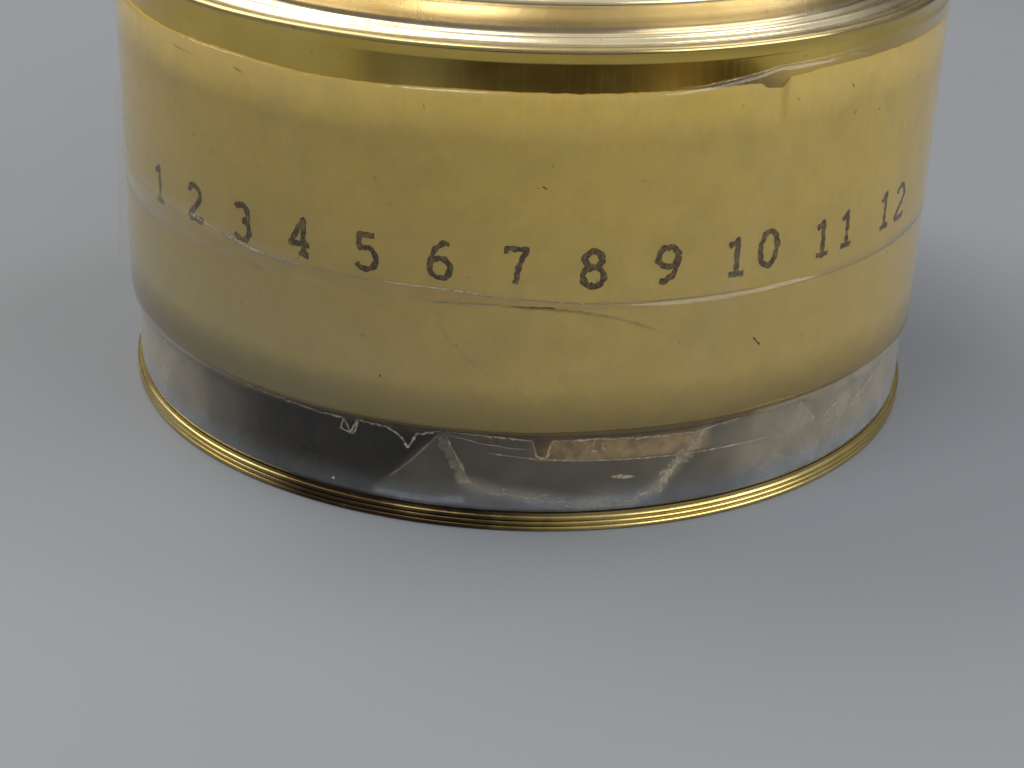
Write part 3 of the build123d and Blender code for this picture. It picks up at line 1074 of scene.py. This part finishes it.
def add_creases(strips):
    """A crease with two flecks across the label, and painted highlights along the upper band's edges
    at both sides.
    """
    crease = rounded([(-11.4, 16.9), (-8.3, 14.5), (-4.5, 12.4), (2.8, 10.4)])
    left_edge = [(-77.5, 22.4), (-74, 21.8), (-70, 20.7), (-68.5, 20.0)]
    top_edge = [(18, 32.0), (27.3, 32.62), (31, 32.95), (38, 33.02)]
    curl = [(40.5, 33.3), (42.5, 32.9), (45, 32.75), (46.2, 32.45)]
    strips.add(crease, 0.13, on_lower, rough=0.5, share=0.20, taper=1.5)
    strips.add([(-8.6, 14.9), (-8.2, 14.65)], 0.13, on_lower, 0.012, 0.3, 0.95, step=0.05, taper=0.15)
    strips.add([(-7.6, 14.3), (-7.2, 14.1)], 0.12, on_lower, 0.012, 0.3, 0.8, step=0.05, taper=0.15)
    # Painted highlights along the upper band's edges.
    strips.add(left_edge, 0.16, on_upper, rough=0.3, share=0.8, taper=1.2)
    strips.add(top_edge, 0.08, on_upper, share=0.45, taper=1.5)
    strips.add(curl, 0.10, on_upper, share=0.35, taper=0.5)


def make_lifted_lines(material):
    """Whitish lines on the tape where it lands, folds, creases and crinkles, and painted glints along
    its edges.
    """
    strips = Strips(5)
    for add_group in (add_landing, add_folds, add_crinkles, add_band_edges, add_creases):
        add_group(strips)
    return strips.make("lifted_lines_and_glints", material)


# Build

film = clear_film()
underside = film_underside()
lid = make_lid(gold_lacquer())
body = make_body(dark_lacquer())
label = make_label(label_paper())
typed = make_typed_line(typed_ink())
lower = make_lower_tape(film, underside)
upper = make_upper_tape(film, underside)
lines = make_lifted_lines(lifted_film_and_glints())
marks = make_marks(dark_paper_marks())
for piece, slot in (
        (lid, "gold_lacquer"), (body, "dark_lacquer"), (label, "label_paper"),
        (typed, "typed_ink"), (marks, "label_paper"), (lower, "clear_film"),
        (upper, "clear_film"), (lines, "clear_film")):
    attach(piece, "root")
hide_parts("tin_lid")
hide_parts("tin_body")
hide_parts("paper_label")
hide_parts("lower_tape")
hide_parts("upper_tape")


# Studio

FLOOR_HALF_M = 2.0
CARD_Z = 0.4
CARD_NEAR_R = 126
CARD_FAR_R = 330
CARD_FROM_DEG = -46
CARD_TO_DEG = 66


def make_floor():
    """Plain floor under the tin."""
    p = Paint("floor")
    colour = p.mix(p.noise(0.01, 3.0), rgb(0.188, 0.202, 0.228), rgb(0.204, 0.218, 0.242))
    material = p.finish(p.principled({
        "Base Color": colour, "Roughness": 0.6, "Specular IOR Level": 0.3,
        "Normal": p.bump(p.noise(1.5, 3.0), 0.02, 0.2)}))
    half = FLOOR_HALF_M
    corners = [(-half, -half, 0), (half, -half, 0), (half, half, 0), (-half, half, 0)]
    return mesh_object("floor", corners, [(0, 1, 2, 3)], material)


def make_camera_shade_card():
    """Painted shade: dark card on the floor under the camera, standing in for the camera's shade
    there; only reflections see it.
    """
    p = Paint("camera_shade_card")
    around = p.around()
    grey_part = p.window(around, -44.0, -18.0, 8.0)
    brown_part = p.window(around, 27.0, 42.0, 7.0)
    colour = p.mix(grey_part, rgb(0.036, 0.031, 0.030), rgb(0.110, 0.118, 0.140))
    colour = p.mix(brown_part, colour, rgb(0.110, 0.088, 0.062))
    dark = p.add("ShaderNodeBsdfDiffuse", {}, {"Color": colour})
    left = p.passage(around, -44.0, -34.0)
    right = p.passage(p.x, 116.0, 126.0, 1.0, 0.0)
    card = p.cover(p.times(left, right), dark)
    points = []
    stops = 60
    for angle in steps(CARD_FROM_DEG, CARD_TO_DEG, stops):
        points.append(spot(angle, CARD_Z, CARD_NEAR_R))
        points.append(spot(angle, CARD_Z, CARD_FAR_R))
    faces = [(a, a + 1, a + 3, a + 2) for a in range(0, 2 * stops, 2)]
    flag = mesh_object("camera_shade_card", points, faces, card)
    flag.visible_camera = False
    flag.visible_shadow = False
    flag.visible_diffuse = False
    return flag


def make_light(name, angle, elevation, distance, size, watts, colour):
    """Soft panel of light that faces the tin from an angle and elevation, not seen itself."""
    target = Vector((0, 0, 0.02))
    turn, rise = math.radians(angle), math.radians(elevation)
    level = math.cos(rise)
    away = Vector((level * math.sin(turn), -level * math.cos(turn), math.sin(rise)))
    data = bpy.data.lights.new(name, "AREA")
    data.shape = "RECTANGLE"
    data.size, data.size_y = size
    data.energy = watts
    data.color = colour
    light = link_object(name, data)
    light.location = target + away * distance
    light.rotation_euler = (-away).to_track_quat("-Z", "Y").to_euler()
    light.visible_camera = False


def make_world():
    """Soft grey room, brighter overhead and darker low down behind the tin."""
    world = bpy.data.worlds.new("studio")
    world.use_nodes = True
    n = Nodes(world.node_tree)
    ahead = n.add("ShaderNodeTexCoord").outputs["Generated"]
    split = n.add("ShaderNodeSeparateXYZ", {}, {0: ahead})
    behind = n.passage(split.outputs["Y"], 0.3, 0.8)
    low_down = n.mix(behind, rgb(0.34, 0.35, 0.365), rgb(0.10, 0.085, 0.072))
    overhead = n.passage(split.outputs["Z"], 0.50, 0.78)
    room = n.mix(overhead, low_down, rgb(0.66, 0.66, 0.655))
    background = n.add("ShaderNodeBackground", {}, {"Color": room})
    n.add("ShaderNodeOutputWorld", {}, {"Surface": background.outputs[0]})
    bpy.context.scene.world = world


def make_camera():
    """Camera close to the tin and above it, looking down at its front."""
    place = Vector((0, -147.81, 66.43)) * MM
    yaw, pitch, roll = -0.0030, 0.4430, 0.0356
    level = math.cos(pitch)
    ahead = Vector((math.sin(yaw) * level, math.cos(yaw) * level, -math.sin(pitch)))
    right = Vector((math.cos(yaw), -math.sin(yaw), 0))
    up = right.cross(ahead)
    side = right * math.cos(roll) + up * math.sin(roll)
    top = up * math.cos(roll) - right * math.sin(roll)
    data = bpy.data.cameras.new("camera")
    data.sensor_width = 36.0
    data.lens = 66.49
    data.clip_start = 0.005
    camera = link_object("camera", data)
    facing = Matrix((side, top, -ahead)).transposed().to_4x4()
    camera.matrix_world = Matrix.Translation(place) @ facing
    bpy.context.scene.camera = camera


make_floor()
make_camera_shade_card()
make_light("overhead_left", -38, 65, 0.50, (0.16, 0.16), 0.7, (1.0, 0.98, 0.95))
make_light("left", -120, 50, 0.55, (0.44, 0.36), 2.1, (1.0, 0.93, 0.80))
make_light("window", 60, 27, 0.65, (0.55, 0.34), 2.2, (1.0, 0.985, 0.95))
make_light("back_right", 115, 60, 0.55, (0.16, 0.16), 0.5, (1.0, 1.0, 1.0))
make_world()
make_camera()
bpy.context.scene.view_settings.view_transform = "Standard"
